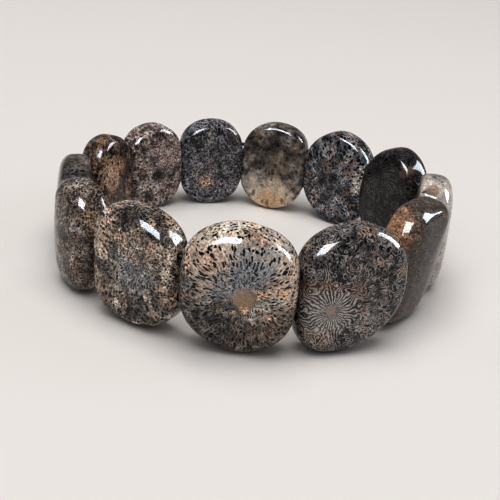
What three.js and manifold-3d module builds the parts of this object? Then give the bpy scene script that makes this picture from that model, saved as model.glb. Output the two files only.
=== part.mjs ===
// A stretch bracelet: thirteen polished fossil coral stones standing on edge in a ring,
// each drilled twice and strung side by side on two endless elastic cords.
// Millimetres, +Z up. The front of the ring faces -Y, and the origin is at the middle of the
// ring's box, on the surface that the stones stand on.
import * as THREE from "three";
import { mergeVertices } from "three/addons/utils/BufferGeometryUtils.js";
import Module from "manifold-3d";

const wasm = await Module();
wasm.setup();

// Driving dimensions.
const CORD_DIAMETER = 0.8;
const HOLE_DIAMETER = 1.6;
const FLARE_DIAMETER = 2.8; // the holes' mouths are flared, so that no edge cuts the cords
const FLARE_DEPTH = 1.6; // from the middle of a seam
const HOLE_SPACING = 8; // between the upper and the lower hole of each stone
const HOLE_INWARD = 1.2; // the drill runs this far inside the middle of a stone's thickness
const SEAT_DEPTH = 0.12; // ground off the lowest point of each stone, so that it rests on a small flat

const OUTLINE_SEGMENTS = 26;
const HOLE_SEGMENTS = 8;
const CORD_SIDES = 6;

// The section of a stone from the middle of its inner face, round the rim, to the middle of its
// outer face: share of the way out to the rim, then share of the thickness, outwards positive.
const SECTION = [
  [0, -0.5],
  [0.89, -0.46],
  [0.965, -0.38],
  [1, -0.16],
  [0.985, 0.12],
  [0.9, 0.33],
  [0.68, 0.45],
  [0, 0.5],
];

// One row for each stone, anticlockwise from the front seen from above. angle (degrees) and
// radius place the middle of the stone in the ring; turn, lean and roll (degrees) turn it about
// the vertical, tip its top outwards, and turn it in its own plane. shear slides its top along
// the string by that share of the height. round and side are the exponents of its outline: 2 is
// an ellipse, and more is squarer at top and bottom, or at the sides. corners raises or lowers
// both exponents in the outline's upper +X, upper -X, lower -X and lower +X quarters.
const STONES = [
  { name: "sunburst_stone", angle: -1.7, radius: 34.7, width: 21, height: 25.8, thickness: 8.3,
    turn: 1.5, lean: 6.5, roll: -3.5, shear: 0.07, round: 1.8, side: 3.5,
    corners: [0.87, 1.1, 0.9, 0.85], colour: 0x7d6a5b },
  { name: "maze_stone", angle: 34.8, radius: 34.3, width: 21.2, height: 24.2, thickness: 8,
    turn: -14, lean: -5.5, roll: 9, shear: -0.15, round: 1.75, side: 2.9,
    corners: [1.35, 0.87, 0.87, 1.35], colour: 0x55504a },
  { name: "umber_stone", angle: 66.3, radius: 34.2, width: 16.3, height: 24.6, thickness: 7.9,
    turn: -12, lean: 2.5, roll: -4.4, shear: -0.12, round: 3, side: 3.5,
    corners: [1, 1.15, 0.9, 1.05], colour: 0x5d5046 },
  { name: "pale_stone", angle: 93.3, radius: 37.3, width: 15, height: 24.3, thickness: 7.8,
    turn: -9.8, lean: -0.9, roll: 0.4, shear: 0, round: 2.3, side: 3,
    corners: [1, 1, 1, 1], colour: 0x8b8377 },
  { name: "black_stone", angle: 119.7, radius: 35.4, width: 16.6, height: 24.9, thickness: 8,
    turn: 6, lean: -4.5, roll: 4, shear: 0.07, round: 1.9, side: 2.4,
    corners: [1.1, 0.9, 0.9, 1], colour: 0x2c2926 },
  { name: "slate_stone", angle: 147.9, radius: 36.2, width: 16.8, height: 21.9, thickness: 8,
    turn: 5, lean: 1.1, roll: 1, shear: -0.05, round: 1.8, side: 2.8,
    corners: [1.05, 0.9, 0.9, 1.05], colour: 0x494a4e },
  { name: "honey_stone", angle: 174, radius: 35.5, width: 14.8, height: 20.7, thickness: 8,
    turn: -6.5, lean: 3.5, roll: 0.5, shear: 0, round: 1.8, side: 3.4,
    corners: [1.15, 1, 0.9, 1], colour: 0x7a6853 },
  { name: "midnight_stone", angle: 199.2, radius: 35.8, width: 14.3, height: 20.5, thickness: 8,
    turn: -0.9, lean: -2.8, roll: -3.4, shear: 0, round: 2, side: 3.4,
    corners: [1, 1, 1, 1], colour: 0x3a3b40 },
  { name: "plum_stone", angle: 223.2, radius: 36.6, width: 14.2, height: 20.4, thickness: 8,
    turn: -2.9, lean: -1.7, roll: -4.3, shear: -0.03, round: 2, side: 3.1,
    corners: [1, 1, 1, 1], colour: 0x4f423e },
  { name: "rust_stone", angle: 245.6, radius: 36.8, width: 12.6, height: 20.5, thickness: 7.9,
    turn: -1.2, lean: 4.6, roll: -3, shear: 0, round: 2.1, side: 2.9,
    corners: [1, 1, 1, 1], colour: 0x6b4a33 },
  { name: "ribbed_stone", angle: 270.2, radius: 37.3, width: 17, height: 20.3, thickness: 7.3,
    turn: 12, lean: 0.5, roll: 3, shear: 0.12, round: 2.4, side: 3,
    corners: [1, 1, 1, 1], colour: 0x4d4945 },
  { name: "bark_stone", angle: 296.2, radius: 36.8, width: 14.1, height: 22.4, thickness: 8,
    turn: 8.1, lean: 1.2, roll: 0, shear: 0.02, round: 2.3, side: 3.2,
    corners: [1.1, 1, 0.95, 1.05], colour: 0x51463c },
  { name: "speckled_stone", angle: 324, radius: 33.9, width: 18.6, height: 23.5, thickness: 8.3,
    turn: 7, lean: -0.3, roll: 3.1, shear: 0.01, round: 1.85, side: 4.1,
    corners: [1.2, 0.9, 0.9, 1], colour: 0x6a5c50 },
];

const radians = THREE.MathUtils.degToRad;

// A closed geometry as a manifold-3d solid.
function toSolid(geometry) {
  const bare = geometry.clone();
  bare.deleteAttribute("normal");
  bare.deleteAttribute("uv");
  const merged = mergeVertices(bare, 1e-4);
  return new wasm.Manifold(
    new wasm.Mesh({
      numProp: 3,
      vertProperties: new Float32Array(merged.attributes.position.array),
      triVerts: new Uint32Array(merged.index.array),
    }),
  );
}

// A manifold-3d solid as a geometry.
function toGeometry(solid) {
  const { vertProperties, triVerts } = solid.getMesh();
  const geometry = new THREE.BufferGeometry();
  geometry.setAttribute("position", new THREE.BufferAttribute(vertProperties, 3));
  geometry.setIndex(new THREE.BufferAttribute(triVerts, 1));
  return geometry;
}

// Raises a share from -1 to 1 to a power and keeps its sign.
function signedPower(share, power) {
  return Math.sign(share) * Math.abs(share) ** power;
}

// The undrilled stone about its own middle: X along the string, Y outwards, Z up.
// It is turned on a lathe as a round button, and its round plan is then drawn out to the outline.
function blankGeometry(stone) {
  const profile = SECTION.map(([share, depth]) => new THREE.Vector2(share, depth * stone.thickness));
  const geometry = new THREE.LatheGeometry(profile, OUTLINE_SEGMENTS);
  const { position } = geometry.attributes;
  for (let i = 0; i < position.count; i++) {
    const share = Math.hypot(position.getX(i), position.getZ(i));
    if (share === 0) continue;
    const across = position.getX(i) / share;
    const up = position.getZ(i) / share;
    const quarter = up > 0 ? (across > 0 ? 0 : 1) : across < 0 ? 2 : 3;
    const x = (stone.width / 2) * signedPower(across, 2 / (stone.round * stone.corners[quarter]));
    const z = (stone.height / 2) * signedPower(up, 2 / (stone.side * stone.corners[quarter]));
    position.setX(i, share * (x + stone.shear * z));
    position.setZ(i, share * z);
  }
  return geometry;
}

// A stone's place in the ring, with the lowest point of its blank SEAT_DEPTH below the surface.
function placeInRing(stone, blank) {
  const holder = new THREE.Object3D();
  holder.rotation.set(
    radians(-stone.lean),
    radians(stone.roll),
    radians(180 + stone.angle + stone.turn),
    "ZXY",
  );
  holder.updateMatrix();
  const turned = blank.clone().applyMatrix4(holder.matrix);
  turned.computeBoundingBox();
  holder.position.set(
    stone.radius * Math.sin(radians(stone.angle)),
    -stone.radius * Math.cos(radians(stone.angle)),
    -turned.boundingBox.min.z - SEAT_DEPTH,
  );
  holder.updateMatrix();
  return holder.matrix;
}

// Where an elastic bends: in the middle of each seam, between a stone's -X end and the next
// stone's +X end. side is 1 for the upper elastic and -1 for the lower one.
function seamPoints(places, side) {
  return STONES.map((stone, i) => {
    const next = (i + 1) % STONES.length;
    const height = (side * HOLE_SPACING) / 2;
    const end = new THREE.Vector3(-stone.width / 2, -HOLE_INWARD, height).applyMatrix4(places[i]);
    const start = new THREE.Vector3(STONES[next].width / 2, -HOLE_INWARD, height);
    return end.lerp(start.applyMatrix4(places[next]), 0.5);
  });
}

// A drill core that runs straight from one seam to the next, with a flare at each mouth.
function drillCore(from, to) {
  const run = to.clone().sub(from);
  const half = run.length() / 2;
  const halfProfile = [
    new THREE.Vector2(HOLE_DIAMETER / 2, half - FLARE_DEPTH),
    new THREE.Vector2(FLARE_DIAMETER / 2, half),
    new THREE.Vector2(FLARE_DIAMETER / 2, 1.5 * half),
    new THREE.Vector2(0, 1.5 * half),
  ];
  const mirrored = halfProfile.map(({ x, y }) => new THREE.Vector2(x, -y)).reverse();
  const along = new THREE.Quaternion().setFromUnitVectors(new THREE.Vector3(0, 1, 0), run.normalize());
  const middle = from.clone().lerp(to, 0.5);
  return toSolid(
    new THREE.LatheGeometry([...mirrored, ...halfProfile], HOLE_SEGMENTS)
      .applyQuaternion(along)
      .translate(middle.x, middle.y, middle.z),
  );
}

// One finished stone: the blank in its place, drilled from seam to seam for both elastics, with
// its seat ground flat at the surface. It is worked in the ring and then brought back to its own
// middle, where its mesh's matrix takes it out again.
function makeStone(stone, i) {
  const before = (i + STONES.length - 1) % STONES.length;
  const { x, y } = new THREE.Vector3().setFromMatrixPosition(places[i]);
  const grinder = new THREE.BoxGeometry(60, 60, 10).translate(x, y, -5);
  const solid = bends
    .map((points) => drillCore(points[before], points[i]))
    .reduce((body, core) => body.subtract(core), toSolid(blanks[i].clone().applyMatrix4(places[i])))
    .subtract(toSolid(grinder));
  const material = new THREE.MeshStandardMaterial({ color: stone.colour, roughness: 0.15, metalness: 0 });
  const mesh = new THREE.Mesh(toGeometry(solid).applyMatrix4(places[i].clone().invert()), material);
  mesh.applyMatrix4(places[i]);
  mesh.name = stone.name;
  return mesh;
}

// A closed line of straight runs. Its parameter counts points, so a tube with one step for each
// point has a ring exactly on every bend.
class StrungLoop extends THREE.Curve {
  constructor(points) {
    super();
    this.points = points;
  }

  getPointAt(share, target = new THREE.Vector3()) {
    const count = this.points.length;
    const place = (share * count) % count;
    const before = this.points[Math.floor(place)];
    const after = this.points[(Math.floor(place) + 1) % count];
    return target.copy(before).lerp(after, place % 1);
  }

  getTangentAt(share, target = new THREE.Vector3()) {
    const half = 0.5 / this.points.length;
    const behind = this.getPointAt((share - half + 1) % 1);
    return this.getPointAt(share + half, target).sub(behind).normalize();
  }
}

// One endless elastic, from bend to bend through a whole row of holes.
function makeElastic(name, points) {
  const loop = new StrungLoop(points);
  const tube = new THREE.TubeGeometry(loop, points.length, CORD_DIAMETER / 2, CORD_SIDES, true);
  const material = new THREE.MeshStandardMaterial({ color: 0x17171a, roughness: 0.45, metalness: 0 });
  const mesh = new THREE.Mesh(toGeometry(toSolid(tube)), material);
  mesh.name = name;
  return mesh;
}

const blanks = STONES.map(blankGeometry);
const places = STONES.map((stone, i) => placeInRing(stone, blanks[i]));
const bends = [seamPoints(places, 1), seamPoints(places, -1)];

const bracelet = new THREE.Group();
bracelet.add(...STONES.map(makeStone));
bracelet.add(makeElastic("upper_elastic", bends[0]));
bracelet.add(makeElastic("lower_elastic", bends[1]));

const box = new THREE.Box3().setFromObject(bracelet, true);
const middle = box.getCenter(new THREE.Vector3());
bracelet.position.set(-middle.x, -middle.y, -box.min.z);

export default bracelet;
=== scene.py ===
# %% [markdown]
# # A fossil coral stretch bracelet
# Thirteen flat stones were sawn from fossil coral, drilled twice, polished and strung side by
# side on two endless elastic cords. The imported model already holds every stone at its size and
# place. Here each one is modelled again with its smooth polished shape, and then gets the
# markings of the coral that it was cut from.

# %% Load the frame
import math
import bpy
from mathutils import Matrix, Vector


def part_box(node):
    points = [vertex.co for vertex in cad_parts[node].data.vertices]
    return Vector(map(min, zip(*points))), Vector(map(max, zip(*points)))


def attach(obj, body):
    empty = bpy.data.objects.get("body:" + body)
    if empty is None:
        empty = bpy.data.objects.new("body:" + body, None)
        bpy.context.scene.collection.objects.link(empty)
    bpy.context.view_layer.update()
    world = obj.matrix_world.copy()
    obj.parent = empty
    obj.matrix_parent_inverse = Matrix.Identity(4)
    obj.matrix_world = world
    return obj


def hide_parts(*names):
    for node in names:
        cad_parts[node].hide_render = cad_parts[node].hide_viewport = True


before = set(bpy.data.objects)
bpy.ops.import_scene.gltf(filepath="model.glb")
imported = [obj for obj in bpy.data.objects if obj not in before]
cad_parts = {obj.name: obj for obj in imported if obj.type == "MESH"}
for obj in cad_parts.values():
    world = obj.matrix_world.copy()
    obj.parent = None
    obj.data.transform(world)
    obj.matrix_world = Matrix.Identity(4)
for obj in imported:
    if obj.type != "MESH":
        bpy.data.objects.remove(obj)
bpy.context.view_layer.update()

from types import SimpleNamespace

import bmesh
import bpy
from mathutils import Matrix, Vector

MM = 0.001  # the sizes below are in millimetres, and Blender works in metres

# %% [markdown]
# ## The camera
# The camera comes first, so that everything after it can be judged through it. It looks down on
# the ring from the front, held a little askew, with a long lens that keeps the far stones from
# looking much smaller than the near ones. A camera could be aimed with a Track To constraint, but
# plain turns, each about one axis, keep the small tilt about its own axis in plain sight.

# %% The camera
CAMERA_PLACE = Vector((0.8, -201.6, 101.9)) * MM
CAMERA_LEFT = 0.1  # degrees to the left of straight ahead
CAMERA_DOWN = 25.94  # degrees below level
CAMERA_ASKEW = 6.3  # degrees about its own axis
CAMERA_LENS = 76.2
CAMERA_NEAREST = 10 * MM  # it sees nothing closer than this

bpy.ops.object.camera_add()
camera = bpy.context.object
camera.data.lens = CAMERA_LENS
camera.data.clip_start = CAMERA_NEAREST
camera.matrix_world = (
    Matrix.Translation(CAMERA_PLACE)
    @ Matrix.Rotation(math.radians(CAMERA_LEFT), 4, "Z")
    @ Matrix.Rotation(math.radians(90 - CAMERA_DOWN), 4, "X")
    @ Matrix.Rotation(math.radians(CAMERA_ASKEW), 4, "Z")
)
bpy.context.scene.camera = camera
print("the camera looks down at", CAMERA_DOWN, "degrees")

# %% [markdown]
# ## The sizes of the stones
# No two stones of such a ring are alike, so each has a row of its own. A row of plain sizes is
# easier to correct than a mesh drawn point by point, and one way of cutting then serves them all.
# Every stone is described as seen from outside the ring, with X to the right, Y up and Z towards
# the viewer. facing is the direction that its outer face looks, in degrees round the ring from
# the front. lean tips its top outwards and roll turns its top to the left. shear slides its top to
# the left by that share of its height. round and side are the exponents of its outline: 2 is an
# ellipse and more is squarer at top and bottom, or at the sides. corners raises or lowers both
# exponents in the upper left, upper right, lower right and lower left quarters.

# %% The stones' sizes


def stone_row(facing, width, height, thickness, lean, roll, shear, round_, side, corners=(1, 1, 1, 1)):
    """One stone's sizes by name, with lengths in millimetres and angles in degrees."""
    return dict(
        facing=facing, width=width, height=height, thickness=thickness, lean=lean, roll=roll,
        shear=shear, round=round_, side=side, corners=corners,
    )


STONES = {
    "sunburst_stone": stone_row(-0.2, 21, 25.8, 8.3, 6.5, -3.5, 0.07, 1.8, 3.5, (0.87, 1.1, 0.9, 0.85)),
    "maze_stone": stone_row(20.8, 21.2, 24.2, 8, -5.5, 9, -0.15, 1.75, 2.9, (1.35, 0.87, 0.87, 1.35)),
    "umber_stone": stone_row(54.3, 16.3, 24.6, 7.9, 2.5, -4.4, -0.12, 3, 3.5, (1, 1.15, 0.9, 1.05)),
    "pale_stone": stone_row(83.5, 15, 24.3, 7.8, -0.9, 0.4, 0, 2.3, 3),
    "black_stone": stone_row(125.7, 16.6, 24.9, 8, -4.5, 4, 0.07, 1.9, 2.4, (1.1, 0.9, 0.9, 1)),
    "slate_stone": stone_row(152.9, 16.6, 21.9, 8, 1.1, 1, -0.05, 1.8, 2.8, (1.05, 0.9, 0.9, 1.05)),
    "honey_stone": stone_row(167.5, 15.1, 20.7, 8, 3.5, 0.5, 0, 1.8, 3.4, (1.15, 1, 0.9, 1)),
    "midnight_stone": stone_row(198.3, 14.5, 20.5, 8, -2.8, -3.4, 0, 2, 3.4),
    "plum_stone": stone_row(220.3, 14.2, 20.4, 8, -1.7, -4.3, -0.03, 2, 3.1),
    "rust_stone": stone_row(244.4, 12.6, 20.5, 7.9, 4.6, -3, 0, 2.1, 2.9),
    "ribbed_stone": stone_row(282.2, 17, 20.3, 7.3, 0.5, 3, 0.12, 2.4, 3),
    "bark_stone": stone_row(304.3, 14.1, 22.4, 8, 1.2, 0, 0.02, 2.3, 3.2, (1.1, 1, 0.95, 1.05)),
    "speckled_stone": stone_row(331, 18.6, 23.5, 8.3, -0.3, 3.1, 0.01, 1.85, 4.1, (1.2, 0.9, 0.9, 1)),
}
HOLE_DIAMETER = 1.6
FLARE_DIAMETER = 2.4
FLARE_DEPTH = 1.2  # from the middle of a seam
HOLE_SPACING = 8  # between the upper and the lower hole of each stone
HOLE_INWARD = 1.2  # the drill runs this far inside the middle of the thickness
SEAT_DEPTH = 0.12  # ground off the lowest point, so that the stone rests on a small flat
print(len(STONES), "stones,", sum(stone["width"] for stone in STONES.values()), "mm side by side")

# %% [markdown]
# ## Cutting a stone
# A lapidary traces an outline on a slab, saws it out, rounds the edges on a grinding wheel and
# polishes the face into a low dome. The model goes the same way: a disc is drawn out to the
# outline and extruded to a slab, and insets that each step in and up round off its edges. The
# outer edge is rounded widely and the inner one tightly, because the inner face lies flat on the
# wrist. Subdivision then plays the part of the polishing wheel. A squashed sphere would be
# quicker, but it has no belt round its edge and no flat face, and every stone would look the same.

# %% Selecting


def only(*things):
    """Selects these objects alone, the first of them active."""
    bpy.ops.object.select_all(action="DESELECT")
    for thing in things:
        thing.select_set(True)
    bpy.context.view_layer.objects.active = things[0]


def pick_faces(thing, wanted):
    """In edit mode, selects exactly the faces that wanted(face) accepts."""
    shape = bmesh.from_edit_mesh(thing.data)
    bpy.ops.mesh.select_all(action="DESELECT")
    for face in shape.faces:
        if wanted(face):
            face.select_set(True)
    bmesh.update_edit_mesh(thing.data)


# %% The outline

OUTLINE_POINTS = 64
SNUG = 0.55  # added to every width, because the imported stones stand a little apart


def signed_power(share, power):
    """A share from -1 to 1 raised to a power, with its sign kept."""
    return math.copysign(abs(share) ** power, share)


def draw_outline(stone):
    """A flat disc drawn out to the stone's outline, about the origin."""
    bpy.ops.mesh.primitive_circle_add(vertices=OUTLINE_POINTS, radius=1, fill_type="NGON")
    slab = bpy.context.object
    for point in slab.data.vertices:
        across, up = point.co.x, point.co.y
        quarter = (0 if across < 0 else 1) if up > 0 else (2 if across > 0 else 3)
        corner = stone["corners"][quarter]
        x = (stone["width"] + SNUG) / 2 * signed_power(across, 2 / (stone["round"] * corner))
        y = stone["height"] / 2 * signed_power(up, 2 / (stone["side"] * corner))
        point.co = Vector((x - stone["shear"] * y, y, 0)) * MM
    return slab


# %% The slab and its rounded edges

BELT_LOW, BELT_HIGH = -0.24, 0.06  # the straight part of the edge, in shares of the thickness
OUTER_EDGE = [(0.25, 0.13), (0.75, 0.13), (1.3, 0.09), (1.7, 0.045)]  # step in, share of thickness up
INNER_EDGE = [(0.15, 0.1), (0.45, 0.085), (0.8, 0.035)]
DOME = [(0.72, 0.025), (0.6, 0.013), (0.4, 0.006)]  # share of the size left, share of thickness up
INNER_DOME = [(0.72, 0.018), (0.6, 0.012), (0.4, 0.005)]


def round_over(slab, stone, towards, edge, dome):
    """Steps the selected face in and up to round its edge, then closes it with a low dome."""
    height = stone["thickness"] * (BELT_HIGH if towards > 0 else -BELT_LOW)
    for step_in, share_up in edge:
        rise = share_up * stone["thickness"]
        bpy.ops.mesh.inset(thickness=step_in * MM, depth=rise * MM)
        height += rise
    for size_left, share_up in dome:
        rise = share_up * stone["thickness"]
        height += rise
        bpy.ops.mesh.extrude_region_move(TRANSFORM_OT_translate={"value": (0, 0, towards * rise * MM)})
        bpy.ops.transform.resize(
            value=(size_left, size_left, 1), center_override=(0, 0, towards * height * MM)
        )
    bpy.ops.mesh.poke()


def cut_blank(name, stone):
    """The stone's slab with rounded edges and domed faces, about the origin, lying on its back."""
    slab = draw_outline(stone)
    slab.name = slab.data.name = name
    low, high = (share * stone["thickness"] * MM for share in (BELT_LOW, BELT_HIGH))
    bpy.ops.object.mode_set(mode="EDIT")
    bpy.ops.mesh.select_mode(type="FACE")
    bpy.ops.mesh.select_all(action="SELECT")
    bpy.ops.transform.translate(value=(0, 0, low))
    bpy.ops.mesh.extrude_region_move(TRANSFORM_OT_translate={"value": (0, 0, high - low)})
    round_over(slab, stone, 1, OUTER_EDGE, DOME)
    pick_faces(slab, lambda face: len(face.verts) == OUTLINE_POINTS)
    round_over(slab, stone, -1, INNER_EDGE, INNER_DOME)
    bpy.ops.mesh.select_all(action="SELECT")
    bpy.ops.mesh.normals_make_consistent(inside=False)
    bpy.ops.object.mode_set(mode="OBJECT")
    return slab


# %% Polishing, which is subdivision

POLISH_ROUNDS = 2


def apply_modifier(thing, kind, **settings):
    """Adds one modifier to the object and applies it at once."""
    only(thing)
    modifier = thing.modifiers.new(kind.title(), kind)
    for name, value in settings.items():
        setattr(modifier, name, value)
    bpy.ops.object.modifier_apply(modifier=modifier.name)


def polish(slab):
    """Smooths the slab's steps into one rounded surface."""
    apply_modifier(slab, "SUBSURF", levels=POLISH_ROUNDS, render_levels=POLISH_ROUNDS)


# %% [markdown]
# ## Standing the stones in the ring
# The blank is turned and tipped to its own stance. It is then moved until the middle of its box
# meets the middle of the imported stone's box, seen from above, and its lowest point just dips under
# the table. A stone polished by hand is never quite even, so a
# slow swell of about a tenth of a millimetre is pressed into its surface: it bends the
# reflections. Sculpting would do it too, but a noise does it the same way every time. Last, the
# lowest point is bisected away at the height of the table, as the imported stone's is.

# %% Standing a stone in its place

SWELL_SIZE = 7.0
SWELL_DEPTH = 0.16
CUT_SHARPNESS = 0.001 * MM  # points closer than this to the seat's plane count as on it
swell = bpy.data.textures.new("hand_polish", "CLOUDS")
swell.noise_scale = SWELL_SIZE * MM
swell.noise_depth = 1


def stance(stone):
    """The turn from the lying blank to the standing stone."""
    return (
        Matrix.Rotation(math.radians(stone["facing"]), 4, "Z")
        @ Matrix.Rotation(math.radians(90 + stone["lean"]), 4, "X")
        @ Matrix.Rotation(math.radians(stone["roll"]), 4, "Z")
    )


def middle_of(points):
    """The middle of the points' box, and its lowest corner."""
    lowest = Vector(min(point[axis] for point in points) for axis in range(3))
    highest = Vector(max(point[axis] for point in points) for axis in range(3))
    return (lowest + highest) / 2, lowest


def stand(slab, name, stone):
    """Turns the blank up, moves it to its place, and gives back the whole move as a matrix."""
    turn = stance(stone)
    middle, lowest = middle_of([turn @ point.co for point in slab.data.vertices])
    packed_low, packed_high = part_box(name)
    move = (packed_low + packed_high) / 2 - middle
    move.z = -lowest.z - SEAT_DEPTH * MM
    place = Matrix.Translation(move) @ turn
    slab.matrix_world = place
    only(slab)
    bpy.ops.object.transform_apply(location=True, rotation=True, scale=True)
    return place


def press_swell(slab):
    """Presses a slow swell into the polished surface."""
    apply_modifier(
        slab, "DISPLACE", texture=swell, texture_coords="LOCAL", strength=SWELL_DEPTH * MM, mid_level=0.5
    )


def grind_seat(slab):
    """Bisects away what reaches below the table, and closes the cut with a flat face."""
    only(slab)
    bpy.ops.object.mode_set(mode="EDIT")
    bpy.ops.mesh.select_all(action="SELECT")
    bpy.ops.mesh.bisect(
        plane_co=(0, 0, 0), plane_no=(0, 0, 1), use_fill=True, clear_inner=True, threshold=CUT_SHARPNESS
    )
    bpy.ops.object.mode_set(mode="OBJECT")


# %% Make the thirteen blanks

places = {}
stones = {}
for name, stone in STONES.items():
    bpy.ops.object.select_all(action="DESELECT")
    slab = cut_blank(name, stone)
    polish(slab)
    places[name] = stand(slab, name, stone)
    press_swell(slab)
    grind_seat(slab)
    stones[name] = slab
    print(name, "has", len(slab.data.polygons), "faces")

# %% [markdown]
# ## Drilling
# The stones are drilled from edge to edge, twice, and strung. Each elastic bends only in the seams
# between the stones, so the drills run straight from the middle of one seam to the middle of the
# next. A drill is a thin cylinder whose two ends are extruded into cones: they flare the mouths,
# so that no sharp edge saws at the elastic. A boolean takes the drills out of the stone, because
# a hole inset by hand would need its faces to line up on both sides of a crooked stone.

# %% Where the elastics bend


def seam_points(height):
    """The middle of every seam at this height, starting with the one after the first stone."""
    names = list(STONES)
    points = []
    for name, after in zip(names, names[1:] + names[:1]):
        end = places[name] @ (Vector((STONES[name]["width"] / 2, height, -HOLE_INWARD)) * MM)
        start = places[after] @ (Vector((-STONES[after]["width"] / 2, height, -HOLE_INWARD)) * MM)
        points.append((end + start) / 2)
    return points


bends = [seam_points(HOLE_SPACING / 2), seam_points(-HOLE_SPACING / 2)]
print("each elastic bends at", len(bends[0]), "seams")

# %% The drills

DRILL_SIDES = 20
DRILL_EXCESS = 0.25  # a drill's wide end goes on for this share of its length
FACING_ALONG = 0.9  # a face whose normal is this much along the drill is one of its ends


def make_drill(start, end):
    """A cutter from one seam to the next, with a flare at each end."""
    run = end - start
    length = run.length
    bpy.ops.object.select_all(action="DESELECT")
    bpy.ops.mesh.primitive_cylinder_add(
        vertices=DRILL_SIDES, radius=HOLE_DIAMETER / 2 * MM, depth=length - 2 * FLARE_DEPTH * MM
    )
    drill = bpy.context.object
    bpy.ops.object.mode_set(mode="EDIT")
    bpy.ops.mesh.select_mode(type="FACE")
    widening = FLARE_DIAMETER / HOLE_DIAMETER
    for side in (1, -1):
        pick_faces(drill, lambda face: face.normal.z * side > FACING_ALONG)
        for reach, spread in ((FLARE_DEPTH * MM, widening), (length * DRILL_EXCESS, 1)):
            bpy.ops.mesh.extrude_region_move(TRANSFORM_OT_translate={"value": (0, 0, side * reach)})
            bpy.ops.transform.resize(value=(spread, spread, 1))
    bpy.ops.object.mode_set(mode="OBJECT")
    turn = run.to_track_quat("Z", "Y").to_matrix().to_4x4()
    drill.matrix_world = Matrix.Translation((start + end) / 2) @ turn
    bpy.ops.object.transform_apply(location=True, rotation=True, scale=True)
    return drill


# %% Drill every stone

SHARP_FROM = 40  # degrees: the holes' edges stay crisp and the rest is smooth

for index, (name, slab) in enumerate(stones.items()):
    drills = [make_drill(points[index - 1], points[index]) for points in bends]
    only(*drills)
    bpy.ops.object.join()
    cutter = bpy.context.object
    apply_modifier(slab, "BOOLEAN", operation="DIFFERENCE", solver="EXACT", object=cutter)
    bpy.data.objects.remove(cutter)
    only(slab)
    bpy.ops.object.shade_smooth_by_angle(angle=math.radians(SHARP_FROM))
    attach(slab, "root")
    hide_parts(name)
print("drilled", 2 * len(stones), "holes")

# %% [markdown]
# ## The elastic
# Two endless cords hold the ring together. Each runs straight through the stones and turns a
# little in every seam. A ring of cylinders would show its joints. A closed NURBS curve with one
# control point just before and one just after each bend gives that soft turn instead; its round
# section makes it a cord, and it becomes a mesh at the end.

# %% The two elastic cords

CORD_DIAMETER = 0.8
BEND_REACH = 0.8  # a cord starts to turn this far before a bend
CORD_ROUNDNESS = 3  # more is a rounder section
CORD_STEPS = 6  # from one control point to the next


def string_elastic(name, points):
    """One endless cord from bend to bend."""
    knots = []
    for before, bend, after in zip(points[-1:] + points[:-1], points, points[1:] + points[:1]):
        knots.append(bend + (before - bend).normalized() * BEND_REACH * MM)
        knots.append(bend + (after - bend).normalized() * BEND_REACH * MM)
    route = bpy.data.curves.new(name, "CURVE")
    route.dimensions = "3D"
    route.bevel_depth = CORD_DIAMETER / 2 * MM
    route.bevel_resolution = CORD_ROUNDNESS
    route.resolution_u = CORD_STEPS
    run = route.splines.new("NURBS")
    run.points.add(len(knots) - 1)
    for point, knot in zip(run.points, knots):
        point.co = (*knot, 1)
    run.order_u = 3
    run.use_cyclic_u = True
    elastic = bpy.data.objects.new(name, route)
    bpy.context.scene.collection.objects.link(elastic)
    only(elastic)
    bpy.ops.object.convert(target="MESH")
    bpy.ops.object.shade_smooth()
    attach(elastic, "root")
    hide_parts(name)
    return elastic


elastics = [
    string_elastic(name, points) for name, points in zip(("upper_elastic", "lower_elastic"), bends)
]
print("the cords have", [len(elastic.data.polygons) for elastic in elastics], "faces")

# %% [markdown]
# ## Writing a stone's markings
# The markings run through the whole stone, so they are worked out in three dimensions from each
# stone's own coordinates, in millimetres. A shader is a long sum, and sums are easier to read as
# plain Python: a Wire is the output of a node, and adding or multiplying Wires adds the nodes that
# do it. Every other node comes from one call.

# %% Sums on wires


class Wire:
    """One output of a node; sums on wires add the nodes that work them out."""

    def __init__(self, recipe, socket):
        self.recipe = recipe
        self.socket = socket

    def sum(self, operation, first, second):
        kind = "ShaderNodeMath" if self.socket.type == "VALUE" else "ShaderNodeVectorMath"
        return self.recipe.node(kind, {"operation": operation}, {0: first, 1: second})

    def __add__(self, other):
        return self.sum("ADD", self, other)

    def __radd__(self, other):
        return self.sum("ADD", other, self)

    def __sub__(self, other):
        return self.sum("SUBTRACT", self, other)

    def __rsub__(self, other):
        return self.sum("SUBTRACT", other, self)

    def __mul__(self, other):
        return self.sum("MULTIPLY", self, other)

    def __rmul__(self, other):
        return self.sum("MULTIPLY", other, self)

    def __truediv__(self, other):
        return self.sum("DIVIDE", self, other)

    def scaled(self, factor):
        """A vector made longer or shorter."""
        return self.recipe.node(
            "ShaderNodeVectorMath", {"operation": "SCALE"}, {"Vector": self, "Scale": factor}
        )

    def also(self, output):
        """Another output of the same node."""
        return Wire(self.recipe, self.socket.node.outputs[output])

    def sine(self):
        return self.recipe.node("ShaderNodeMath", {"operation": "SINE"}, {0: self})

    def length(self):
        return self.recipe.node("ShaderNodeVectorMath", {"operation": "LENGTH"}, {0: self}, "Value")

    def step(self, low, high):
        """A soft step that is 0 at low and 1 at high, where low may be the larger."""
        return self.recipe.node(
            "ShaderNodeMapRange", {"interpolation_type": "SMOOTHSTEP"},
            {"Value": self, "From Min": low, "From Max": high},
        )


# %% One call for every node


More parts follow.
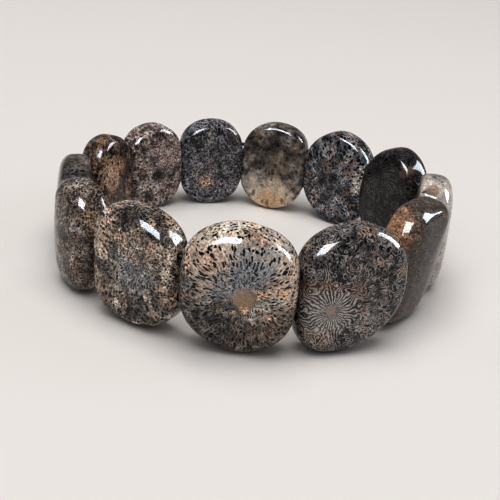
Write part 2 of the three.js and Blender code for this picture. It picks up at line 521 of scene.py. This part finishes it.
class Recipe:
    """A material whose nodes are added one call at a time."""

    def __init__(self, name):
        self.material = bpy.data.materials.new(name)
        self.material.use_nodes = True
        self.tree = self.material.node_tree
        self.shader = self.tree.nodes["Principled BSDF"]

    def feed(self, socket, value):
        """Links a wire to a socket, or sets the socket to a plain value or colour."""
        if isinstance(value, Wire):
            self.tree.links.new(value.socket, socket)
        else:
            socket.default_value = (*value, 1) if socket.type == "RGBA" else value

    def node(self, kind, settings, inputs, output=0):
        """Adds a node: its settings first, then its inputs by name or number."""
        made = self.tree.nodes.new(kind)
        for name, value in settings.items():
            if name == "stops":
                ramp = made.color_ramp
                for _ in value[2:]:
                    ramp.elements.new(0.5)
                for element, (place, colour) in zip(ramp.elements, value):
                    element.position = place
                    element.color = (*colour, 1)
            else:
                setattr(made, name, value)
        for key, value in inputs.items():
            self.feed(made.inputs[key], value)
        return Wire(self, made.outputs[output])

    def finish(self, **inputs):
        """Feeds the shader's own sockets, with underscores for the spaces in their names."""
        for name, value in inputs.items():
            self.feed(self.shader.inputs[name.replace("_", " ")], value)
        return self.material

    def noise(self, place, fineness, detail=3.0, roughness=0.55, output="Fac"):
        """Cloudy noise from 0 to 1, with fineness in lumps per millimetre."""
        return self.node(
            "ShaderNodeTexNoise", {},
            {"Vector": place, "Scale": fineness, "Detail": detail, "Roughness": roughness}, output,
        )

    def blend(self, mask, first, second):
        """The first colour where the mask is 0 and the second where it is 1."""
        return self.node(
            "ShaderNodeMix", {"data_type": "RGBA"}, {0: mask, 6: first, 7: second}, output=2
        )

    def darkened(self, colour, factor):
        """A colour times a number."""
        grey = self.node("ShaderNodeCombineColor", {}, {0: factor, 1: factor, 2: factor})
        return self.node(
            "ShaderNodeMix", {"data_type": "RGBA", "blend_type": "MULTIPLY"},
            {0: 1.0, 6: colour, 7: grey}, output=2,
        )


print("the ways to write a shader are ready")

# %% [markdown]
# ## Fossil coral
# A coral grows outwards from where it settled, as a bundle of fine tubes. In the fossil the tubes
# are filled with dark agate and the walls between them with paler stone. A cut across the tubes
# shows dots, and a cut along them shows strokes, so every face has a sunburst of dots and strokes
# about the place where it started. Here space is laid out round that place: a point's direction
# from it, made longer with its distance, gives coordinates in which the tubes are round cells for
# a Voronoi texture. The ridges are the crests of a sine wave that runs round the same place and is
# pushed about by noise, so they are rays near it and a maze further out. Clouds of noise stain the
# ground in patches.

# %% The colours of the ground and of its stains

INK = (0.004, 0.004, 0.006)
SOOT = (0.018, 0.017, 0.02)
CHARCOAL = (0.05, 0.047, 0.047)
SLATE = (0.085, 0.095, 0.115)
BLUE_GREY = (0.19, 0.215, 0.255)
ASH = (0.24, 0.22, 0.205)
PALE_ASH = (0.48, 0.45, 0.42)
BONE = (0.78, 0.70, 0.61)
UMBER = (0.064, 0.046, 0.037)
BROWN = (0.155, 0.10, 0.07)
FAWN = (0.30, 0.23, 0.18)
TAN = (0.46, 0.325, 0.235)
PLUM = (0.115, 0.088, 0.084)

# %% What a coat says, with what it says unless a stone differs

PLAIN_COAT = dict(
    blotch=0.2,  # clouds of the ground to the millimetre
    stain=BROWN,
    stain_amount=0.5,
    grain=0.8,  # contrast of the fine grain
    fibre=0.5,  # contrast of the streaks that run outwards
    wobble=0.5,  # how far the tubes wander, in millimetres
    tubes=9.0,  # tubes side by side over one radian
    growth=0.35,  # tube lengths to the millimetre
    pore=0.2,  # size of a tube's dark core
    pore_strength=1.0,
    walls=0.4,
    wall_colour=PALE_ASH,
    ridges=0.0,
    ridge_colour=PALE_ASH,
    ridge_width=0.45,
    rays=26,  # ridges that leave the start
    bands=(0.0, 0.0, 0.0),  # further ridges, square to this direction
    ramble=8.0,  # how far noise pushes the ridges about, counted in ridges
    ramble_size=0.5,  # lumps of that noise to the millimetre
    ray_reach=6.0,  # the rays lose their way this far from the start
    specks=0.5,
    speck_colour=BONE,
    patches=(),  # each is x, y, z, radius, colour, strength
    heart=None,  # a smooth patch that hides the tubes: x, y, z, radius, colour
    glow=0.0,  # how much light passes under the surface
)
print("a coat has", len(PLAIN_COAT), "usual values, and every stone adds its seed, start and ground")

# %% The space that the markings are laid out in

SEED_STEP = 37.0  # sets the noises of different stones, and of one stone, far apart


def lay_out(recipe, coat, place):
    """The wires that every marking starts from.

    own is the point in the stone's own millimetres, shifted is own moved to this stone's part of
    the noises, outwards and heading lead away from where the coral started, crumbs is a fine noise
    and gate is a slow one that lets a marking show in some places only.
    """
    where = recipe.node("ShaderNodeTexCoord", {}, {}, "Object")
    own = recipe.node(
        "ShaderNodeMapping", {"vector_type": "TEXTURE"},
        {
            "Vector": where, "Location": place.translation, "Rotation": place.to_euler(),
            "Scale": (MM, MM, MM),
        },
    )
    shifted = own + (coat["seed"] * SEED_STEP, 0, 0)
    sway = recipe.noise(shifted, 0.35, 2.0, output="Color") - (0.5, 0.5, 0.5)
    outwards = own + sway.scaled(2 * coat["wobble"]) - coat["start"]
    return SimpleNamespace(
        own=own,
        shifted=shifted,
        outwards=outwards,
        heading=recipe.node("ShaderNodeVectorMath", {"operation": "NORMALIZE"}, {0: outwards}),
        crumbs=recipe.noise(shifted, 2.6, 4.0, 0.85),
        gate=recipe.noise(shifted + (SEED_STEP, 0, 0), 0.5, 3.0, 0.6),
    )


# %% The ground of a stone

CLOUD_STOPS = (0.38, 0.5, 0.62)  # where the clouds are dark, middling and pale
STAIN_FROM, STAIN_RANGE = 0.68, 0.24  # no stain at all, and how far the full amount lowers it
PATCH_RAGGEDNESS = 2.4
GRAIN_CONTRAST = 4.4
STREAK_CONTRAST = 4.2
STREAK_BRIGHTNESS = 2.05


def stained_ground(recipe, coat, space):
    """Three colours in clouds, with a stain in other clouds, ragged patches and fine grain."""
    clouds = recipe.noise(space.shifted, coat["blotch"], 5.0, 0.68)
    stops = list(zip(CLOUD_STOPS, coat["ground"]))
    colour = recipe.node("ShaderNodeValToRGB", {"stops": stops}, {"Fac": clouds})
    other_clouds = recipe.noise(space.shifted + (0, SEED_STEP, 0), coat["blotch"] * 1.7, 5.0, 0.7)
    level = STAIN_FROM - STAIN_RANGE * coat["stain_amount"]
    colour = recipe.blend(other_clouds.step(level - 0.03, level + 0.06), colour, coat["stain"])
    ragged = recipe.noise(space.shifted + (0, 0, SEED_STEP), 0.55, 5.0, 0.75)
    for x, y, z, radius, patch_colour, strength in coat["patches"]:
        away = (space.own - (x, y, z)).length() / radius + (ragged - 0.5) * PATCH_RAGGEDNESS
        colour = recipe.blend(away.step(1.35, 0.55) * strength, colour, patch_colour)
    return recipe.darkened(colour, (space.crumbs - 0.5) * (GRAIN_CONTRAST * coat["grain"]) + 1.0)


def streaked(recipe, coat, space, colour):
    """Brighter and darker streaks that run outwards through the ground."""
    streaks = recipe.noise(
        space.heading.scaled(coat["tubes"] * 1.6) + (coat["seed"], 0, 0), 1.0, 3.0, 0.6
    )
    return recipe.darkened(
        colour, (streaks - 0.5) * (STREAK_CONTRAST * coat["fibre"]) + STREAK_BRIGHTNESS
    )


# %% The ridges


def ridged(recipe, coat, space, colour):
    """Pale crests and dark furrows: rays near the start, and a maze further out."""
    across = recipe.node("ShaderNodeSeparateXYZ", {}, {0: space.outwards})
    round_start = recipe.node(
        "ShaderNodeMath", {"operation": "ARCTAN2"}, {0: across.also("Y"), 1: across.also("X")}
    )
    along = recipe.node(
        "ShaderNodeVectorMath", {"operation": "DOT_PRODUCT"}, {0: space.own, 1: coat["bands"]}, "Value"
    )
    away = (space.outwards * (1, 1, 0)).length()
    loose = away.step(coat["ray_reach"] * 0.5, coat["ray_reach"] * 1.5)
    push = recipe.noise(space.shifted, coat["ramble_size"], 1.0, 0.4) - 0.5
    rambling = push * (loose + 0.1) * (2 * math.pi * coat["ramble"])
    turns = round_start * float(coat["rays"]) + along + rambling + (space.crumbs - 0.5) * 2.5
    crest = turns.sine() + (space.crumbs - 0.5) * 1.4
    shown = ((space.gate.step(0.3, 0.6) * 0.7 - 1) * loose + 1) * away.step(0.8, 2.0) * coat["ridges"]
    pale = crest.step(1 - 2 * coat["ridge_width"], 1.0) * shown
    colour = recipe.blend(pale, colour, coat["ridge_colour"])
    return recipe.blend(crest.step(-0.2, -0.9) * (0.7 * coat["ridges"]), colour, INK)


# %% The tubes

DUST_FINENESS = 1.5  # pale specks to the millimetre


def with_tubes(recipe, coat, space, colour):
    """The tubes' pale walls and dark cores. Gives back the colour and the mask of the cores."""
    growing = space.heading.scaled(space.outwards.length() * coat["growth"] + coat["tubes"])
    edge = recipe.node(
        "ShaderNodeTexVoronoi", {"feature": "DISTANCE_TO_EDGE"}, {"Vector": growing, "Scale": 1.0},
        "Distance",
    )
    walls = edge.step(0.11, 0.02) * space.gate.step(0.42, 0.58) * coat["walls"]
    colour = recipe.blend(walls, colour, coat["wall_colour"])
    cell = recipe.node("ShaderNodeTexVoronoi", {}, {"Vector": growing, "Scale": 1.0}, "Distance")
    size = cell.also("Color").length()
    core = (cell / (size * coat["pore"] + 0.2 * coat["pore"])).step(1.35, 0.85)
    if coat["heart"]:
        x, y, z, radius, heart_colour = coat["heart"]
        inside = ((space.own - (x, y, z)).length() / radius + (space.crumbs - 0.5) * 2.0).step(1.2, 0.75)
        core = core * (1 - inside * 0.8)
        colour = recipe.blend(inside * 0.9, colour, recipe.darkened(heart_colour, space.crumbs * 1.6 + 0.3))
    return recipe.blend(core * coat["pore_strength"], colour, INK), core


def dusted(recipe, coat, space, colour):
    """Fine pale specks, where the gate is low."""
    dust = recipe.node(
        "ShaderNodeTexVoronoi", {}, {"Vector": space.shifted, "Scale": DUST_FINENESS}, "Distance"
    )
    specks = dust.step(0.2, 0.1) * space.gate.step(0.5, 0.4) * coat["specks"]
    return recipe.blend(specks, colour, coat["speck_colour"])


# %% The markings of one stone

STONE_IOR = 1.42
POLISHED = 0.07  # roughness of the polished face
CORE_DULLNESS = 0.06  # how much rougher the tubes' cores are
PIT_STRENGTH = 0.07
PIT_DEPTH = 0.03
GLOW_REACH = Vector((2.2, 1.4, 0.9)) * MM  # how far red, green and blue light pass under the surface


def fossil_coral(name, coat):
    """Polished fossil coral, marked as the stone's coat says."""
    recipe = Recipe(name)
    space = lay_out(recipe, coat, places[name])
    colour = streaked(recipe, coat, space, stained_ground(recipe, coat, space))
    if coat["ridges"]:
        colour = ridged(recipe, coat, space, colour)
    colour, core = with_tubes(recipe, coat, space, colour)
    colour = dusted(recipe, coat, space, colour)
    pit = recipe.node(
        "ShaderNodeBump", {}, {"Strength": PIT_STRENGTH, "Distance": PIT_DEPTH * MM, "Height": 1 - core}
    )
    return recipe.finish(
        Base_Color=colour, Roughness=core * CORE_DULLNESS + POLISHED, Normal=pit, IOR=STONE_IOR,
        Subsurface_Weight=coat["glow"], Subsurface_Radius=GLOW_REACH, Subsurface_Scale=1.0,
    )


# %% [markdown]
# ## The thirteen coats
# Every stone was cut from its own place in its own piece of coral, so each has its own coat. start
# is where the coral began to grow, in the stone's own millimetres, and it lies near the middle of
# a face that shows a sunburst and far off for a face that shows only strokes. ground is three
# colours from dark to pale. The stones could share one coat with different seeds, but then none
# would stand out, as the honey one and the nearly black one do.

# %% The front and right coats

COATS = {}
COATS["sunburst_stone"] = dict(
    seed=1, start=(1.1, 1.0, 1.6), wobble=0.9, tubes=13.5, growth=0.33, pore=0.28,
    ground=((0.04, 0.038, 0.038), (0.17, 0.155, 0.145), (0.36, 0.335, 0.31)),
    stain=TAN, stain_amount=0.6, specks=0.8, walls=0.4, wall_colour=BONE, glow=0.1, grain=0.9, fibre=1.2,
    patches=[
        (-5.6, 7.2, 3.6, 4.2, (0.34, 0.255, 0.205), 0.7),
        (7.5, 5.8, 3.2, 3.4, (0.33, 0.25, 0.205), 0.6),
        (-2.6, 12.5, 0.7, 5.0, (0.40, 0.35, 0.305), 0.65),
        (5.7, 11.4, 0, 4.0, (0.38, 0.335, 0.295), 0.6),
        (0.7, 12.6, 1.4, 2.0, BROWN, 0.6),
        (1.8, 7.4, 3.7, 4.2, (0.15, 0.168, 0.195), 0.7),
        (-3.2, 2.0, 4.1, 4.0, (0.15, 0.165, 0.19), 0.55),
        (-4.5, -8.5, 3.5, 8, SOOT, 0.9),
        (6, -9, 3.2, 6.5, UMBER, 0.9),
        (-10, 1.0, 0, 3.5, SOOT, 0.9),
        (9.5, -3, 2, 3.5, UMBER, 0.7),
    ],
    heart=(1.1, 1.0, 4.1, 2.1, (0.42, 0.31, 0.22)),
)
COATS["maze_stone"] = dict(
    seed=2, start=(-5.6, -2.2, -0.5), wobble=0.5, tubes=14, pore=0.2,
    ground=(SOOT, (0.04, 0.037, 0.039), (0.09, 0.084, 0.087)),
    stain=BROWN, stain_amount=0.55, specks=0.3, walls=0.3, grain=1.1,
    ridges=1.0, rays=34, ramble=9, ramble_size=0.5, ray_reach=5.0,
    ridge_colour=(0.66, 0.61, 0.59), ridge_width=0.4,
    patches=[
        (-0.1, 0.8, 4, 2.2, BROWN, 0.6),
        (-7.9, -7.5, 3.4, 2.4, BROWN, 0.8),
        (-9, 2, 3, 2.5, BROWN, 0.5),
        (-6.0, -3.2, 3.7, 4.2, (0.22, 0.2, 0.19), 0.8),
        (1, -6, 3.5, 3.0, ASH, 0.5),
    ],
    heart=(-5.8, -2.0, 3.9, 0.9, (0.38, 0.31, 0.26)),
)
COATS["umber_stone"] = dict(
    seed=3, start=(-2, 2, -14), tubes=16, growth=0.6, pore=0.2, pore_strength=0.5, fibre=0.3,
    ground=(CHARCOAL, UMBER, UMBER), blotch=0.3, grain=1.5, stain=(0.10, 0.085, 0.075), specks=0.8, walls=0.1,
    patches=[(2, 0, 6, 10, CHARCOAL, 0.6), (-7.5, 7.5, -3, 5.2, (0.27, 0.165, 0.11), 0.95)],
)
COATS["pale_stone"] = dict(
    seed=4, start=(0, 0, -12), pore=0.14, pore_strength=0.7,
    ground=((0.16, 0.148, 0.14), (0.25, 0.228, 0.215), (0.36, 0.33, 0.305)),
    stain=TAN, stain_amount=0.25, specks=0.3, glow=0.15,
    patches=[(-4.3, 10.7, -1, 1.5, BROWN, 0.7), (0, -4, 4, 8, ASH, 0.7)],
)

# %% The rear coats

COATS["black_stone"] = dict(
    seed=5, start=(2, 6, 4), pore=0.2,
    ground=(INK, INK, SOOT), blotch=0.3, stain=UMBER, stain_amount=0.4, specks=0.2, walls=0.2,
    ridges=0.45, rays=30, ramble=9, ridge_colour=ASH,
    patches=[(-5.4, 9.6, -2.6, 1.5, BROWN, 0.7)],
)
COATS["slate_stone"] = dict(
    seed=6, start=(1, -1, 1), tubes=12, pore=0.3, fibre=0.9,
    ground=(INK, SLATE, (0.31, 0.295, 0.30)), blotch=0.35, grain=1.9, stain=BROWN, stain_amount=0.55,
    specks=0.5, patches=[(-6.8, 1, -3, 2.6, PALE_ASH, 0.8)],
)
COATS["honey_stone"] = dict(
    seed=7, start=(0, 12, 2), pore=0.26, pore_strength=0.6,
    ground=(SOOT, (0.08, 0.072, 0.066), ASH), blotch=0.3, grain=0.6,
    stain=(0.13, 0.09, 0.065), stain_amount=0.5, specks=0.3, glow=0.2, walls=0.1,
    patches=[
        (4, -4.2, -3, 3, ASH, 0.9),
        (-0.5, -10.4, -3.4, 8.0, (0.40, 0.345, 0.285), 0.95),
        (-0.8, -8.0, -3.8, 3.0, (0.34, 0.235, 0.145), 0.8),
        (6.3, -7, -2, 1.8, SOOT, 0.9),
        (-1.5, 1, -4, 3, (0.16, 0.12, 0.09), 0.6),
    ],
)
COATS["midnight_stone"] = dict(
    seed=8, start=(0, 0, 2), tubes=13, pore=0.32, pore_strength=0.8,
    ground=(INK, (0.08, 0.077, 0.085), ASH), blotch=0.4, grain=2.6,
    stain=(0.15, 0.155, 0.175), stain_amount=0.7, specks=0.4,
    patches=[(1.8, -3.6, -3.9, 1.7, (0.36, 0.27, 0.2), 0.8)],
)
COATS["plum_stone"] = dict(
    seed=9, start=(-1, 2, 2), tubes=13, pore=0.28, pore_strength=0.8,
    ground=(INK, PLUM, (0.34, 0.31, 0.30)), blotch=0.4, grain=2.0,
    stain=(0.30, 0.235, 0.21), stain_amount=0.6, specks=0.5,
    patches=[
        (1.7, 6.7, -3.8, 1.0, BROWN, 0.8),
        (0, -1, -4, 1.8, INK, 0.8),
        (-3, 3, -4, 3.5, (0.34, 0.27, 0.25), 0.6),
    ],
)

# %% The left coats

COATS["rust_stone"] = dict(
    seed=10, start=(0, 12, 0), tubes=13, pore=0.24,
    ground=(SOOT, UMBER, (0.26, 0.18, 0.13)), blotch=0.35, grain=1.9,
    stain=(0.24, 0.12, 0.065), stain_amount=0.4, specks=0.4, walls=0.3,
    patches=[(2.2, 3, -3.6, 3.6, TAN, 0.6)],
)
COATS["ribbed_stone"] = dict(
    seed=11, start=(0, -14, 0), pore=0.16,
    ground=(SOOT, CHARCOAL, (0.15, 0.12, 0.10)), blotch=0.3, grain=1.1, stain=UMBER, stain_amount=0.5,
    specks=0.4, ridges=0.4, rays=0, bands=(0.5, 9.0, 0.5), ramble=3, ridge_colour=ASH,
)
COATS["bark_stone"] = dict(
    seed=12, start=(-7, -14, -1), tubes=30, growth=1.0, pore=0.26,
    ground=(INK, (0.10, 0.087, 0.078), (0.31, 0.275, 0.25)), blotch=0.3, grain=1.9,
    stain=UMBER, stain_amount=0.6, specks=0.6, walls=0.4, wall_colour=TAN,
    ridges=0.8, rays=0, bands=(3, 6, 0), ramble=7, ridge_colour=(0.42, 0.35, 0.29),
    patches=[(6.4, 6.1, 0.5, 2.0, TAN, 0.4), (5, -4.7, 3, 2.0, BROWN, 0.6)],
)
COATS["speckled_stone"] = dict(
    seed=13, start=(3.2, 3, -1), tubes=14, pore=0.29, pore_strength=0.9, fibre=1.2,
    ground=(INK, (0.10, 0.083, 0.071), (0.46, 0.405, 0.355)), blotch=0.24, grain=1.9,
    stain=(0.26, 0.19, 0.145), stain_amount=0.6, specks=1.0, walls=0.35, wall_colour=BONE,
    ridges=0.3, rays=30, ramble=9, ridge_width=0.32, ridge_colour=BONE,
    patches=[
        (-5.7, 6.1, 3.8, 2.6, FAWN, 0.7),
        (1.5, 0, 4, 4.0, BLUE_GREY, 0.45),
        (2.5, -7, 3, 3, SOOT, 0.8),
        (0, 11, 2, 3.5, SOOT, 0.8),
        (8, -3, 2, 2.4, FAWN, 0.4),
        (-6, -6, 3, 3, BROWN, 0.6),
    ],
)

# %% Mark every stone

for name, coat in COATS.items():
    stones[name].data.materials.append(fossil_coral(name, {**PLAIN_COAT, **coat}))
print("marked", len(COATS), "stones")

# %% [markdown]
# ## The elastic's finish
# Stretch cord is a bundle of fine rubber threads. It looks dark and slightly dull, with a grain
# that a fine noise gives. Threads could be modelled one by one, but they are far finer than what
# shows in the seams.

# %% The elastic's finish

THREAD_FINENESS = 3.0
CORD_DARK, CORD_PALE = (0.006, 0.006, 0.007), (0.016, 0.015, 0.015)
CORD_ROUGHNESS, THREAD_ROUGHNESS = 0.4, 0.2

cord = Recipe("stretch_cord")
cord_place = cord.node("ShaderNodeTexCoord", {}, {}, "Object").scaled(1 / MM)
threads = cord.noise(cord_place, THREAD_FINENESS, 2.0)
cord.finish(
    Base_Color=cord.blend(threads, CORD_DARK, CORD_PALE),
    Roughness=threads * THREAD_ROUGHNESS + CORD_ROUGHNESS,
)
for elastic in elastics:
    elastic.data.materials.append(cord.material)
print("finished", len(elastics), "cords")

# %% [markdown]
# ## Table and light
# The ring stands on a plain pale surface. One soft light overhead and pale surroundings light it
# all. Two bright panels, one in front on the left and one on the right, are only seen as
# reflections: they give the bright bars on the shoulders of the polished stones. Each panel has a
# wider and much dimmer halo, which softens the edge of its reflection. One large lamp could do
# both jobs, but then its brightness would set the bars and the table together.

# %% The table

TABLE_SIDE = 3  # metres
TABLE_COLOUR = (0.80, 0.765, 0.735, 1)
TABLE_ROUGHNESS = 0.9

bpy.ops.mesh.primitive_plane_add(size=TABLE_SIDE)
table = bpy.context.object
table.name = "table"
surface = bpy.data.materials.new("pale_table")
surface.use_nodes = True
surface_shader = surface.node_tree.nodes["Principled BSDF"]
surface_shader.inputs["Base Color"].default_value = TABLE_COLOUR
surface_shader.inputs["Roughness"].default_value = TABLE_ROUGHNESS
table.data.materials.append(surface)
print("the table is", TABLE_SIDE, "m wide")

# %% The surroundings

ROOM_COLOUR = (1, 0.99, 0.98, 1)
ROOM_BRIGHTNESS = 0.34
VIEW_GAMMA = 0.7  # under 1 deepens the dark tones

surroundings = bpy.data.worlds.new("pale_room")
surroundings.use_nodes = True
background = surroundings.node_tree.nodes["Background"]
background.inputs["Color"].default_value = ROOM_COLOUR
background.inputs["Strength"].default_value = ROOM_BRIGHTNESS
bpy.context.scene.world = surroundings
bpy.context.scene.view_settings.view_transform = "Standard"
bpy.context.scene.view_settings.gamma = VIEW_GAMMA
print("the room's brightness is", ROOM_BRIGHTNESS)

# %% The lights

MIDDLE = Vector((0, 0, 12)) * MM
PANEL_COLOUR = (0.86, 0.92, 1.0)
CEILING_COLOUR = (1, 1, 1)


def hang_light(name, azimuth, elevation, wide, tall, brightness, seen_in):
    """A flat soft light that faces the ring from a metre away.

    azimuth 0 is behind the camera and 90 to its right, wide and tall are degrees of the ring's sky,
    and brightness is the light's own radiance. seen_in names the only rays that meet it.
    """
    turn, rise = math.radians(azimuth), math.radians(elevation)
    level = math.cos(rise)
    towards = Vector((math.sin(turn) * level, -math.cos(turn) * level, math.sin(rise)))
    bpy.ops.object.light_add(type="AREA", location=MIDDLE + towards)
    light = bpy.context.object
    light.name = name
    light.rotation_euler = towards.to_track_quat("Z", "Y").to_euler()
    light.data.shape = "RECTANGLE"
    light.data.size = 2 * math.tan(math.radians(wide / 2))
    light.data.size_y = 2 * math.tan(math.radians(tall / 2))
    light.data.color = PANEL_COLOUR if seen_in == "glossy" else CEILING_COLOUR
    light.data.energy = brightness * math.pi * light.data.size * light.data.size_y
    light.visible_diffuse = seen_in == "diffuse"
    light.visible_glossy = seen_in == "glossy"
    print("hung the", name)


hang_light("ceiling", -25, 84, 46, 46, 3.75, "diffuse")
hang_light("front_panel", -26, 47, 40, 33, 30, "glossy")
hang_light("front_halo", -26, 47, 54, 46, 0.7, "glossy")
hang_light("right_panel", 103, 28, 27, 36, 22, "glossy")
hang_light("right_halo", 103, 28, 40, 50, 0.7, "glossy")
